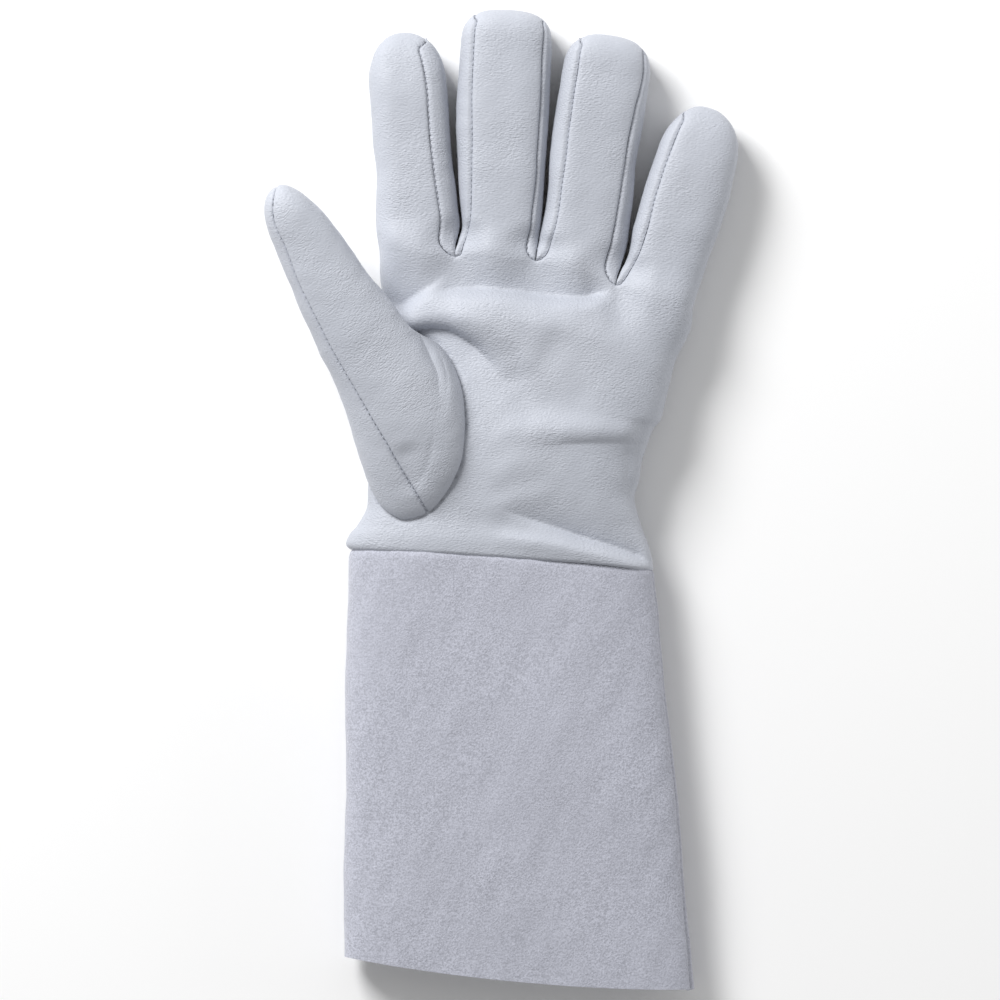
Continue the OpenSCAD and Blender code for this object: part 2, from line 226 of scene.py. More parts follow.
class Finger:
    """A finger's outline and seams: sideways distance from its axis at places along it."""

    def __init__(self, name, order, left, right, left_seam, right_seam, tip, blunt, tilt=0):
        self.name, self.order, self.tip, self.blunt = name, order, tip, blunt
        self.left, self.right, self.tilt = left, right, tilt
        self.left_seam, self.right_seam = left_seam, right_seam
        knuckle, joint = joint_place(name + "_knuckle"), joint_place(name + "_joint")
        self.dir = unit(joint[:2] - knuckle[:2])
        self.across = np.array([self.dir[1], -self.dir[0]])
        self.root = knuckle[:2] - KNUCKLE_AT * self.dir
        self.joint_at = (joint[:2] - self.root) @ self.dir
        tips = node_points(name + "_upper_front")[:, :2]
        self.long = ((tips - self.root) @ self.dir).max() + TIP_PAST
        self.ends = KNUCKLES[order], KNUCKLES[order + 1]

    def rows(self):
        """Distances along the finger, closer at its root and over its tip."""
        k = np.arange(11)
        root = k * (k + 5) / 20
        low, start, step = 8.8, self.long - self.tip, 1.25
        body = np.linspace(low, start, int((start - low) / step))
        return np.concatenate([root, body, tip_rows(start, self.tip)])

    def zones(self):
        """Zone of each row of quads: root rows up to halfway between the knuckle's zone and the middle
        joint's zone, tip rows past that.
        """
        split = (KNUCKLE_ZONE + self.joint_at - JOINT_ZONE) / 2
        return [self.name + ("_root" if s < split else "_tip") for s in self.rows()[1:]]

    def shrink(self, s):
        """How much of its full width and height the section at s has."""
        u = np.clip((s - self.long + self.tip) / self.tip, 0, 1)
        return max(0.0, 1 - u**self.blunt)**(1 / self.blunt)

    def half(self, s, side):
        """Half a section, from crown to middle of the back, and where its seams are."""
        outline, seam = (self.left, self.left_seam) if side < 0 else (self.right, self.right_seam)
        shrink, wide, n = self.shrink(s), smooth(outline, s), HALF_COUNT
        line = self.half_section(s, wide, seam is not None)
        line[:, 0] *= shrink
        line[:, 1] = FINGER_MIDDLE + (line[:, 1] - FINGER_MIDDLE) * shrink
        run = lengths(line)
        if seam is None:
            return line, run[n - 1], run[n - 1]
        # at the crotch both seams run in a U to the widest place, and over the tip they meet there
        u_bend = 1 - math.sqrt(1 - (1 - min(s / 6, 1))**2)
        runs = []
        for goal, part in ((smooth(seam, s), slice(n)), (0.8 * wide, slice(None, n - 1, -1))):
            at = min(mix(goal, wide, u_bend), 0.97 * wide * shrink) if s > 0 else wide
            runs.append(np.interp(at, line[part, 0], run[part]))
        close = ease((s - self.long + 0.38 * self.tip) / (0.31 * self.tip))
        return line, *mix(np.array(runs), (run[n - 1] + run[n]) / 2, close)

    def half_section(self, s, wide, open_side):
        """Points (sideways, height) of half a section of full size, from crown to back."""
        root = 1 - ease(s / ROOT_LONG)
        wall = ROOT_WALL * root if open_side else 0
        top = mix(FINGER_TOP, ROOT_TOP, root)
        top -= TIP_DROP * ease((s - self.long + TIP_DROP_LONG) / TIP_DROP_LONG)
        power = mix(FINGER_POWER, OPEN_POWER if open_side else WRAP_POWER, root)
        turn = np.linspace(0, np.pi / 2, HALF_COUNT)
        out = np.sin(turn)**power
        up = np.cos(turn)**power
        crown = mix(up, (1 + np.cos(np.pi * out)) / 2, root if open_side else 0)
        high, low = FINGER_MIDDLE + wall / 2, FINGER_MIDDLE - wall / 2
        front = np.stack([wide * out, high + (top - high) * crown], 1)
        back = np.stack([wide * out, low * (1 - crown)**1.5], 1)
        return np.concatenate([front, back[::-1] if wall else back[-2::-1]])

    def place(self, s, section):
        """Points of the row frame for a section's points (sideways, height) at s."""
        sideways, height = section[:, 0], section[:, 1]
        lo, hi = -smooth(self.left, s), smooth(self.right, s)
        t = (sideways - lo) / (hi - lo)
        a, b = self.ends
        slanted = a + (b - a) * t[:, None] + s * self.dir
        ahead = CROTCH_SHIFT * (1 - s / self.long)
        square = self.root + (s + ahead) * self.dir + sideways[:, None] * self.across
        own = ease(s / ROOT_LONG)
        above = np.clip((height - FINGER_MIDDLE) / 12, 0, 1)
        return np.column_stack([mix(slanted, square, own), height - self.tilt * own * sideways * above])

    def grids(self):
        """Grids of the front, the back and the two sides; a side that leather wraps has no height."""
        found = {"front": [], "back": [], "left": [], "right": []}
        rising = np.linspace(0, 1, HALF_COUNT)
        falling = np.linspace(1, 0, HALF_COUNT)
        for s in self.rows():
            left, lf, lb = self.half(s, -1)
            right, rf, rb = self.half(s, 1)
            left = left * [-1, 1]
            front = np.concatenate([along(left, falling, 0, lf), along(right, rising[1:], 0, rf)])
            back = np.concatenate([along(right, rising, rb), along(left, falling[1:], lb)])
            lines = {"front": along(front, STRIP), "back": along(back, STRIP),
                     "left": along(left, SIDE_STRIP, lf, lb), "right": along(right, SIDE_STRIP, rf, rb)}
            for key, line in lines.items():
                found[key].append(self.place(s, line))
        return {k: np.array(v) for k, v in found.items()}


FINGERS = [
    Finger("index", 0,
           left=[(0, 13.9), (8, 14.4), (16, 14.2), (24, 13.7), (32, 13.0), (40, 13.4), (56, 13.6),
                 (66, 13.8), (84, 13.4)],
           right=[(0, 14), (2, 15.6), (6, 17), (9, 17.2), (15, 16.4), (24, 16), (32, 15.4),
                  (40, 15.1), (58, 15), (84, 14.4)],
           left_seam=None,
           right_seam=[(0, 10.6), (12, 9.9), (26, 8.6), (41, 7.9), (63, 7.6), (72, 6.6), (84, 3.6)],
           tip=18, blunt=2.1),
    Finger("middle", 1,
           left=[(0, 15), (2, 13.5), (6, 12.2), (10, 12.1), (15, 13.1), (24, 14.4), (32, 15.2),
                 (40, 15.9), (50, 16.7), (60, 16.8), (94, 15.6)],
           right=[(0, 15), (4, 15.9), (9, 16.4), (24, 16.8), (40, 17.2), (60, 17.6), (94, 17.2)],
           left_seam=[(0, 11.2), (8, 10.3), (25, 10.2), (40, 10.5), (68, 11.7), (84, 11.7), (94, 9.5)],
           right_seam=[(0, 12), (8, 12.8), (16, 13.2), (30, 14.1), (48, 14.4), (86, 14.5), (94, 12.5)],
           tip=12.5, blunt=2.7, tilt=0.03),
    Finger("ring", 2,
           left=[(0, 14.8), (4, 15.2), (9, 15.3), (15, 15.1), (24, 14.5), (32, 14.8), (40, 15.6),
                 (56, 16), (72, 15.7), (90, 14.8)],
           right=[(0, 14.9), (3, 16.2), (8, 17.2), (24, 17.4), (32, 17.1), (46, 16.3), (64, 16.9),
                  (90, 16.5)],
           left_seam=[(0, 12.2), (9, 11), (22, 9.9), (41, 9.9), (54, 10.3), (83, 10.3), (90, 8)],
           right_seam=[(0, 11.8), (8, 11.6), (22, 12.2), (50, 12.6), (64, 13.2), (77, 14.6), (90, 12.5)],
           tip=14, blunt=2.5, tilt=0.11),
    Finger("little", 3,
           left=[(0, 14.6), (3, 14), (8, 13.5), (16, 13.9), (24, 14.9), (40, 14.9), (48, 14.5),
                 (60, 13.8), (74, 13)],
           right=[(0, 14.8), (16, 15.2), (24, 15.6), (34, 16.1), (42, 16.4), (52, 16), (74, 15.4)],
           left_seam=[(0, 12), (11, 10.8), (25, 10), (37, 10.4), (56, 9.7), (64, 8.8), (74, 6.5)],
           right_seam=None,
           tip=19, blunt=2.1, tilt=0.06)]


# ---------- hand ----------

# Sideways place of the hand's edges at places along Y, from below the wrist seam to the knuckles.
HAND_LEFT = [(-30, -55.3), (-19, -55.3), (-16.4, -57), (-13, -55.8), (-9, -52.6), (-2, -49.2),
             (6, -48.6), (30, -46.5), (58, -42), (74, -40.6), (82, -42), (92.3, -44.6)]
HAND_RIGHT = [(-30, 56.6), (-26, 56.8), (-22, 56.2), (-16.7, 54.9), (-10, 52), (-1.5, 49.6),
              (6, 51.6), (11.5, 52.4), (18, 54.6), (24.5, 57.2), (27, 59.3), (31, 60.6),
              (38.5, 62.3), (47, 63.8), (55.5, 66.4), (66, 70), (70.8, 71.4)]
# Height of its top at shares of the way from the wrist seam to the knuckles.
HAND_TOP = [(0, 27.6), (0.05, 28), (0.12, 27.4), (0.25, 29.2), (0.42, 30.6), (0.6, 31), (0.75, 30.4),
            (0.88, 28.2), (1, 25.8)]
HAND_POWER = 0.68        # how boxy its section is: 1 is an ellipse
HAND_MIDDLE = 12.5       # height of the hand's edges
FLOW_FROM = 0.78         # from this share of its length on, the hand flows into the fingers,
FLOW_FROM_INDEX = 0.55   # and from this one on at the index finger's side


def wrist_line(x):
    """Y of the wrist seam."""
    t = np.clip((x - WRIST_LEFT) / WRIST_WIDE, 0, 1)
    return mix(SEAM_HIGH, SEAM_LOW, t**1.6)


def knuckle_line(x):
    return np.interp(x, KNUCKLES[:, 0], KNUCKLES[:, 1])


def hand_edges(v):
    """X of the left and the right edge at shares of the way from wrist seam to knuckles."""
    left = smooth(HAND_LEFT, mix(SEAM_HIGH, KNUCKLES[0, 1], v))
    right = smooth(HAND_RIGHT, mix(SEAM_LOW, KNUCKLES[-1, 1], v))
    return left, right


def palm_height(x, y):
    """Height of the plain palm, without its folds, over a point in plan."""
    v = np.clip((y - wrist_line(x)) / (knuckle_line(x) - wrist_line(x)), 0, 1)
    left, right = hand_edges(v)
    share = np.clip(abs((2 * x - left - right) / (right - left)), 0, 0.999)
    lift = (1 - share**(2 / HAND_POWER))**(HAND_POWER / 2)
    return HAND_MIDDLE + (smooth(HAND_TOP, v) - HAND_MIDDLE) * lift


def hand_half(v, front):
    """The hand's section (x, height) from its left edge to its right one, over or under."""
    left, right = hand_edges(v)
    turn = np.linspace(np.pi, 0, 181)
    x = (left + right) / 2 + (right - left) / 2 * boxy(np.cos(turn), HAND_POWER)
    lift = np.sin(turn)**HAND_POWER
    if front:
        return np.stack([x, HAND_MIDDLE + (smooth(HAND_TOP, v) - HAND_MIDDLE) * lift], 1)
    return np.stack([x, HAND_MIDDLE * (1 - lift)**1.5], 1)


def hand_row(v, front):
    """Four strips of the hand, one below each finger, as (4, columns, 3)."""
    line = hand_half(v, front)
    left, right = hand_edges(v)
    shares = (KNUCKLES[:, 0] - KNUCKLES[0, 0]) / (KNUCKLES[-1, 0] - KNUCKLES[0, 0])
    run = lengths(line)
    cuts = np.interp(mix(left, right, shares), line[:, 0], run)
    strips = []
    for i in range(4):
        section = along(line, STRIP, cuts[i], cuts[i + 1])
        y = mix(wrist_line(section[:, 0]), knuckle_line(section[:, 0]), v)
        strips.append(np.column_stack([section[:, 0], y, section[:, 1]]))
    return np.array(strips)


def hand_strips(roots, front):
    """The strips of the hand's front or back, which flow into the first rows of the fingers."""
    key = "front" if front else "back"
    starts = np.full((4, len(STRIP)), FLOW_FROM)
    starts[0] = mix(FLOW_FROM_INDEX, FLOW_FROM, STRIP)
    rows = []
    for v in np.linspace(0, 1, 150):
        row = hand_row(v, front)
        goal = np.array([g[key][0] if front else g[key][0][::-1] for g in roots])
        goal = goal + (row[:, :, 1:2] - goal[:, :, 1:2]) * [0, 1, 0] if v < 1 else goal
        rows.append(mix(row, goal, ease((v - starts) / (1 - starts))[:, :, None]))
    return np.array(rows).transpose(1, 0, 2, 3)


# ---------- skins ----------

class Skin:
    """One cut piece of leather: grids whose shared borders meet, with a thickness and folds."""

    def __init__(self, name, thick=GRAIN_LEATHER, slot="grain_leather"):
        self.name, self.thick, self.slot = name, thick, slot
        self.points, self.quads, self.zones = [], [], []
        self.count = 0
        self.grain = self.tree = None

    def add(self, grid, zone_of_row, flip=False):
        rows, cols = grid.shape[:2]
        ids = self.count + np.arange(rows * cols).reshape(rows, cols)
        q = np.stack([ids[:-1, :-1], ids[:-1, 1:], ids[1:, 1:], ids[1:, :-1]], -1)
        if flip:
            q = q[..., ::-1]
        self.points.append(grid.reshape(-1, 3))
        self.quads.append(q.reshape(-1, 4))
        self.zones += [z for z in zone_of_row[:rows - 1] for _ in range(cols - 1)]
        self.count += rows * cols

    def weld(self):
        """Joins points that lie on each other and drops quads that have shrunk to nothing."""
        points = np.concatenate(self.points)
        quads = np.concatenate(self.quads)
        cells = np.round(points / WELD).astype(np.int64)
        _, first, back = np.unique(cells, axis=0, return_index=True, return_inverse=True)
        self.p = points[first]
        quads = back.reshape(-1)[quads]
        keep = np.array([len(set(q)) >= 3 for q in quads.tolist()])
        self.q = quads[keep]
        self.zone = np.array(self.zones)[keep]
        self.rest = self.p.copy()

    def normals(self):
        p, q = self.p, self.q
        face = np.cross(p[q[:, 2]] - p[q[:, 0]], p[q[:, 3]] - p[q[:, 1]])
        total = np.zeros_like(p)
        for k in range(4):
            np.add.at(total, q[:, k], face)
        size = np.linalg.norm(total, axis=1, keepdims=True)
        return total / np.maximum(size, 1e-9)

    def push(self, by):
        """Moves the points outwards, along their normals."""
        self.p = self.p + self.normals() * by[:, None]

    def lift(self, by):
        self.p = self.p + np.outer(by, UP)

    def roughen(self, bumps, share=1):
        """Adds unevenness from (height, size, seed) of waves, where share isn't 0."""
        self.push(sum(high * waves(self.rest, size, seed) for high, size, seed in bumps) * share)

    def at(self, points):
        """The skin's own points nearest to points of the rest shape."""
        if self.tree is None:
            self.tree = point_tree(self.rest)
        return [self.tree.find(c)[1] for c in points]

    def brought(self, points):
        """Where points of the rest shape have been moved to."""
        return points + (self.p - self.rest)[self.at(points)]

    def border(self, keep=None):
        """Open edges of the skin, or those of them whose middles keep() picks."""
        edges = open_edges(self.q)
        if keep is not None:
            edges = edges[keep(self.p[edges].mean(1))]
        return edges

    def path(self, line):
        """Edges of the skin along a line of its own points."""
        ids = self.at(line)
        return np.array([pair for pair in zip(ids, ids[1:]) if pair[0] != pair[1]])

    def roll_in(self, edges, round_off=SEAM_ROUND, deep=SEAM_DEEP, pucker=0.0, way=(0, 1, 0)):
        """Rolls the leather down into the seams along these edges and puckers it along way."""
        a, b = self.p[edges[:, 0]], self.p[edges[:, 1]]
        tree = point_tree(np.concatenate([mix(a, b, t) for t in (0, 0.25, 0.5, 0.75)]))
        far = np.array([tree.find(c)[2] for c in self.p])
        step = self.rest @ np.array(way, float) / PUCKER_PITCH + 0.2 * waves(self.rest, 18, 41)
        pull = 1 + pucker * np.sin(2 * np.pi * step)
        wide = np.clip(1 - far / (2.2 * round_off), 0, 1)**2 * pucker * 0.5 * pull
        self.push(-(deep * rolled(far / round_off) + wide))

    def drop(self, keep):
        self.q, self.zone = self.q[keep], self.zone[keep]

    def make(self, attach):
        """One closed object for each zone, attached by attach(object, zone)."""
        self.facing = self.normals()
        for zone in sorted(set(self.zone)):
            name = f"{self.name}_{zone}" if zone else self.name
            attach(leather_object(name, self, self.q[self.zone == zone]), zone)


def point_tree(points):
    tree = kdtree.KDTree(len(points))
    for i, c in enumerate(points):
        tree.insert(c, i)
    tree.balance()
    return tree


def open_edges(quads):
    """Edges that only one quad has, as pairs of points."""
    edges = np.concatenate([quads[:, [k, (k + 1) % 4]] for k in range(4)])
    edges = edges[edges[:, 0] != edges[:, 1]]
    pairs = np.sort(edges, axis=1)
    _, first, count = np.unique(pairs, axis=0, return_index=True, return_counts=True)
    return edges[first[count == 1]]


def leather_object(name, skin, quads):
    """A closed mesh of a skin's quads, their inner side and the rims between."""
    used, back = np.unique(quads, return_inverse=True)
    q = back.reshape(quads.shape)
    n, out = len(used), skin.facing[used]
    points = np.concatenate([skin.p[used], skin.p[used] - out * skin.thick])
    facing = np.concatenate([out, -out])
    outer = [[f[k] for k in range(4) if f[k] != f[k - 1]] for f in q.tolist()]
    faces = outer + [[i + n for i in f][::-1] for f in outer]
    shades = [facing[i] for f in faces for i in f]
    for a, b in open_edges(q).tolist():
        side = np.cross(points[b] - points[a], facing[a])
        faces.append([b, a, a + n, b + n])
        shades += [side / max(np.linalg.norm(side), 1e-9)] * 4
    grain = skin.rest if skin.grain is None else skin.grain
    rest = np.concatenate([grain[used], grain[used]])
    return mesh_object(name, points, faces, skin.slot, shades, rest)


def mesh_object(name, points, faces, slot, shades=None, rest=None):
    """Makes a mesh with its own normals and its points' places in the flat leather."""
    mesh = bpy.data.meshes.new(name)
    mesh.from_pydata((np.asarray(points) * MM).tolist(), [], faces)
    mesh.polygons.foreach_set("use_smooth", [True] * len(mesh.polygons))
    if shades is not None:
        mesh.normals_split_custom_set([tuple(s) for s in shades])
    if rest is not None:
        grain = mesh.attributes.new("grain", "FLOAT_VECTOR", "POINT")
        grain.data.foreach_set("vector", np.asarray(rest, float).ravel())
    mesh.materials.append(MATERIALS[slot])
    piece = bpy.data.objects.new(name, mesh)
    bpy.context.scene.collection.objects.link(piece)
    return piece


# ---------- stitches ----------

class Thread:
    """Stitches along seams, collected for each zone of the leather."""

    def __init__(self):
        self.found = {}

    def sew(self, zone, line, skins, lift=0.4):
        """Lays stitches along a line of rest points, where the skins have been brought to."""
        line = np.asarray(line)
        run = lengths(line)
        count = int(run[-1] / STITCH_PITCH)
        if count < 1:
            return
        at = (np.arange(count) + 0.5) / count
        places = [along(line, np.clip(at + step, 0, 1)) for step in (0, 0.02, -0.02)]
        middle, ahead, back = (np.mean([skin.brought(c) for skin in skins], axis=0) for c in places)
        out = units(np.mean([skin.facing[skin.at(places[0])] for skin in skins], axis=0))
        self.found.setdefault(zone, []).append((middle + out * lift, units(ahead - back), out))

    def make(self, attach):
        """One object for each zone: every stitch is four rings of points, small at its ends."""
        rings = [(-0.5, 0.35), (-0.3, 1.0), (0.3, 1.0), (0.5, 0.35)]
        sides = 6
        count = sides * len(rings)
        one = [list(range(sides))[::-1], list(range(count - sides, count))]
        for r in range(0, count - sides, sides):
            ring = [(r + k, r + (k + 1) % sides) for k in range(sides)]
            one += [[a, b, b + sides, a + sides] for a, b in ring]
        for zone, runs in self.found.items():
            centre, way, out = (np.concatenate(part) for part in zip(*runs))
            side = np.cross(way, out)
            points = []
            for place, size in rings:
                for turn in np.linspace(0, 2 * np.pi, sides, endpoint=False):
                    round_way = math.cos(turn) * side + math.sin(turn) * out
                    ring_at = centre + place * STITCH_LONG * way
                    points.append(ring_at + size * STITCH_THICK / 2 * round_way)
            points = np.stack(points, 1).reshape(-1, 3)
            faces = [[count * i + k for k in face] for i in range(len(centre)) for face in one]
            attach(mesh_object("thread_" + zone, points, faces, "thread"), zone)


# ---------- folds of the palm and the thumb ----------

# Profiles of folds: height at the distance d from a line, positive on its left, and at the share t
# of the line. The first number of each is its depth or height.

def crease(d, t, deep, north, south):
    """A sharp valley with its own width on the left and on the right."""
    return -deep * np.exp(-abs(d) / np.where(d > 0, north, south))


def ridge(d, t, high, north, south):
    """A soft ridge, or a valley if it is negative, with its own width on each side."""
    return high * np.exp(-(d / np.where(d > 0, north, south))**2)


def fall(d, t, deep, north, south):
    """A valley with an even slope on its left and a steep rise on its right."""
    return -deep * np.where(d > 0, np.clip(1 - d / north, 0, 1)**1.4, np.exp(-abs(d) / south))


def hollow(d, t, deep, first_wall, last_wall, floor):
    """A hollow on the right, under a rolled edge on the left that gets wide and soft."""
    wall = mix(first_wall, last_wall, np.clip(t / 0.6, 0, 1))
    edge = mix(rolled(d / wall), 1 - ease(d / wall), ease((t - 0.4) / 0.4))
    return -deep * np.where(d > 0, edge, 1 - ease((-d - 2) / floor))


# Folds as (profile, its numbers, the shares over which it fades in and out, line in plan).
PALM_FOLDS = [
    # the fold from the web up to the crotch of index and middle finger
    (fall, (9, 34, 1.6), (0.02, 1.0),
     [(-45, 66), (-37, 71), (-31.3, 74.9), (-25.5, 79.3), (-21.4, 83), (-18, 87)]),
    # the long fold below the fingers' roots
    (fall, (4.6, 15, 2.0), (0.35, 0.12),
     [(-31, 73.6), (-22, 77.3), (-11, 78.6), (3, 77.8), (18, 75.6), (29, 75), (42, 78)]),
    (ridge, (2.2, 3.2, 12), (0.3, 0.12),
     [(-30, 70), (-20, 72.4), (-11, 73.2), (3, 72.6), (18, 70.4), (30, 70.2), (44, 73.5)]),
    # the deep hollow that starts under the thumb
    (hollow, (7.2, 3.5, 12, 36), (0.02, 0.6),
     [(-40, 59), (-35, 61), (-30, 62.4), (-25, 63.4), (-20, 63), (-14.5, 60.6), (-9, 57.2),
      (-4.4, 52.4), (-0.6, 46.8), (5, 41), (11, 35), (17, 28)]),
    # the shallow hollow in the middle of the palm, where two valleys meet
    (ridge, (-1.5, 14, 10), (0.3, 0.3), [(-2, 32), (8, 34), (18, 37), (28, 41), (42, 46)]),
    (ridge, (-0.7, 3.5, 5), (0.4, 0.3), [(4, 61), (6, 51), (8, 40)]),
    (ridge, (-0.8, 7, 4), (0.3, 0.3), [(27, 66), (17, 53), (9, 41)]),
    # the ridge across the middle of the palm and the crease below it
    (ridge, (1.5, 5, 5), (0.4, 0.12), [(-8, 23), (8, 26), (22, 25.8), (36, 25.4), (53, 24.4)]),
    (crease, (1.2, 1.6, 6), (0.5, 0.06), [(10, 18), (24, 20.8), (38, 21.4), (50, 21), (57, 19.6)]),
    (crease, (0.9, 2.5, 1.2), (0.2, 0.4), [(47.2, 20.5), (47.2, 10), (48.6, -1)]),
    # the fold above the wrist seam and the roll between them
    (crease, (4.6, 6, 1.6), (0.6, 0.04),
     [(-4, -1.5), (8, -6), (20, -10), (30, -13.6), (40, -16.6), (50, -20.2), (57, -23.6)]),
    (ridge, (1.6, 2.5, 5), (0.35, 0.05), [(-10, -13), (14, -15.5), (34, -20), (48, -23.5), (57, -26)]),
    # folds that run from the ball of the thumb over the palm
    (ridge, (0.9, 6, 6), (0.4, 0.4), [(-10, 2), (4, 12), (20, 18)]),
    (ridge, (0.8, 4, 5), (0.4, 0.4), [(-12, -6), (6, 0), (24, 4)])]
THUMB_FOLDS = [
    (crease, (2.6, 3.6, 1.7), (0.05, 0.7),
     [(-30, 63), (-28.5, 59), (-25.3, 51.8), (-22.6, 43), (-22.6, 33)]),
    (ridge, (0.9, 2.4, 2.6), (0.15, 0.5), [(-25, 57), (-20, 48), (-18, 36), (-19, 24)]),
    (crease, (0.9, 0.9, 1.8), (0.3, 0.5), [(-24.5, 57.5), (-21, 51), (-19.4, 44), (-19.8, 35)]),
    (crease, (0.45, 1.4, 1.4), (0.3, 0.3), [(-24, 27), (-26, 15), (-31, 4)]),
    (ridge, (-1.2, 5, 5), (0.3, 0.3), [(-36, 22), (-33, 10), (-29, 2)])]
EDGE_FOLDS_Y = 74        # below this the folds are weak near the hand's left and right edge
FOLDS_END = 110          # the folds fade out on the fingers' roots before this


def fold_height(folds, points):
    """Height that folds add at points in plan."""
    total = np.zeros(len(points))
    for profile, numbers, (start, end), line in folds:
        d, t = from_line(points, curve(line))
        total += profile(d, t, *numbers) * (ease(t / start) * ease((1 - t) / end))
    return total


def press(skin, top):
    """Presses the folds of the palm into a skin, as far as top says at each point."""
    near = top > 0
    folds = np.zeros(len(skin.p))
    folds[near] = fold_height(PALM_FOLDS, skin.p[near])
    skin.lift(folds * top * ease((FOLDS_END - skin.p[:, 1]) / 18))


def over_edge(skin):
    """How far each point is on the palm's side: 0 at the hand's edges, 1 from 14 mm above them."""
    return ease((skin.p[:, 2] - 12) / 14)


def shape_palm(skin, mouth):
    """Shapes the hand's leather: folds, the thumb's seam, gathers and some unevenness."""
    up = skin.normals()[:, 2]
    left, right = (smooth(edge, skin.p[:, 1]) for edge in (HAND_LEFT, HAND_RIGHT))
    share = abs((2 * skin.p[:, 0] - left - right) / (right - left))
    inward = 1 - 0.85 * ease((share - 0.9) / 0.1) * ease((EDGE_FOLDS_Y - skin.p[:, 1]) / 8)
    top = over_edge(skin) * (up > 0)
    press(skin, top * inward)
    # the palm dips into the seam round the thumb's mouth
    close = np.flatnonzero(top > 0.5)
    dip = np.zeros(len(skin.p))
    dip[close] = 1.3 * rolled(abs(from_line(skin.p[close], mouth)[0]) / 1.6)
    skin.lift(-dip)
    # the elastic gathers the back
    behind = ease((-up - 0.5) / 0.4)
    across = np.exp(-((skin.p[:, 1] - ELASTIC_Y) / 7)**2)
    phase = 2 * np.pi * (skin.rest[:, 0] / GATHER_PITCH + 0.25 * waves(skin.rest, 16, 8))
    skin.lift(1.3 * behind * across * (0.5 + 0.5 * np.sin(phase)))
    skin.roughen([(0.16, 24, 3), (0.06, 9, 4)], np.clip(skin.p[:, 2] / 3, 0, 1))


# ---------- thumb ----------

THUMB_ROOT, THUMB_JOINT = joint_place("thumb_root"), joint_place("thumb_joint")
THUMB_HINGE_AT = 12      # from the thumb's start to its root hinge
THUMB_JOINT_AT = 46      # and to its joint
THUMB_DIR = (THUMB_JOINT - THUMB_ROOT) / (THUMB_JOINT_AT - THUMB_HINGE_AT)
THUMB_START = THUMB_ROOT - THUMB_HINGE_AT * THUMB_DIR
THUMB_ACROSS = np.array([*unit(np.array([THUMB_DIR[1], -THUMB_DIR[0]])), 0])
THUMB_LONG = 75.6
THUMB_TIP = 17           # length over which the tip rounds off
# Sideways distance of the thumb's outer side, of its side by the fingers and of its long seam
# from its axis, at distances along it.
THUMB_LEFT = [(0, 19), (8, 18), (16, 16.8), (24, 16), (32, 15.2), (40, 14), (48, 13.2), (56, 12.2),
              (64, 11.2), (77, 10.2)]
THUMB_RIGHT = [(0, 17.8), (7, 16.8), (16, 15.6), (24, 14.4), (32, 12.9), (40, 12.2), (48, 11.5),
               (56, 10.4), (64, 8.9), (77, 7.4)]
THUMB_SEAM = [(0, 13), (12, 12.8), (24, 12), (36, 11.3), (47, 9.9), (56, 8.6), (64, 8),
              (72, 5.6), (77, 2)]
THUMB_POWER = 0.85
UNDER_SEAM = 300         # angle of the second seam, on the underside
LOFT_END = 14            # where the base's loft ends and the thumb's own sections start


def thumb_section(s, turns):
    """Points round the thumb at s, at these angles: 0 is the side by the fingers, 90 the top."""
    u = np.clip((s - THUMB_LONG + THUMB_TIP) / THUMB_TIP, 0, 1)
    shrink = math.sqrt(max(0.0, 1 - u**2.2))
    a = np.radians(turns)
    wide = np.where(np.cos(a) < 0, smooth(THUMB_LEFT, s), smooth(THUMB_RIGHT, s))
    high = mix(13.0, 10.6, ease(s / 62))
    side = shrink * wide * boxy(np.cos(a), THUMB_POWER)
    lift = shrink * high * boxy(np.sin(a), THUMB_POWER)
    return THUMB_START + s * THUMB_DIR + side[:, None] * THUMB_ACROSS + np.outer(lift, UP)


def seam_turn(s):
    """Angle round the thumb at which its long seam lies."""
    share = smooth(THUMB_SEAM, s) / smooth(THUMB_LEFT, s)
    return 180 - math.degrees(math.acos(min(share, 0.99)**(1 / THUMB_POWER)))


MOUTH_SUNK = 0.6         # how far the mouth lies below the palm
# The mouth of the thumb in the palm: plan place, height (None: on the palm) and the angle of the
# thumb's own section that this point runs to.
MOUTH = [((-29.5, 60), None, 0), ((-24.4, 58.8), None, 14), ((-19.4, 54), None, 28),
         ((-15.6, 46.5), None, 42), ((-13.3, 37), None, 56), ((-12.7, 27), None, 70),
         ((-13.8, 16.5), None, 86), ((-16.6, 7.6), None, 102), ((-20.9, 0.7), None, 118),
         ((-26.8, -5.2), None, 136), ((-35.5, -7.8), None, 152), ((-43, -3.6), None, 166),
         ((-47.6, 6), 15, 182), ((-46, 22), 9, 206), ((-43.6, 40), 8, 240),
         ((-40, 52), 8.5, 272), ((-36, 59), 13, 305), ((-32, 61.5), 20, 335),
         ((-29.5, 60), None, 360)]


# How steeply the leather leaves the mouth and how far it bulges outwards, at angles round it
LOFT_STEEP = [(0, 0.5), (40, 1.3), (60, 1.6), (110, 1.4), (150, 0.7), (200, 0.1), (300, 0), (360, 0.5)]
LOFT_BULGE = [(0, 0), (120, 0), (150, 0.1), (182, 0.15), (206, 0.15), (260, 0), (360, 0)]


def mouth_line():
    """The mouth as (x, y, z, angle) rows of a closed smooth line."""
    rows = []
    for (x, y), z, turn in MOUTH:
        if z is None:
            z = palm_height(x, y) + fold_height(PALM_FOLDS, np.array([[x, y, 0.0]]))[0] - MOUTH_SUNK
        rows.append([turn, x, y, z])
    rows = np.array(rows)
    turns = np.linspace(0, 360, 361)
    return np.stack([smooth(rows[:, [0, k]], turns) for k in (1, 2, 3)] + [turns], 1)


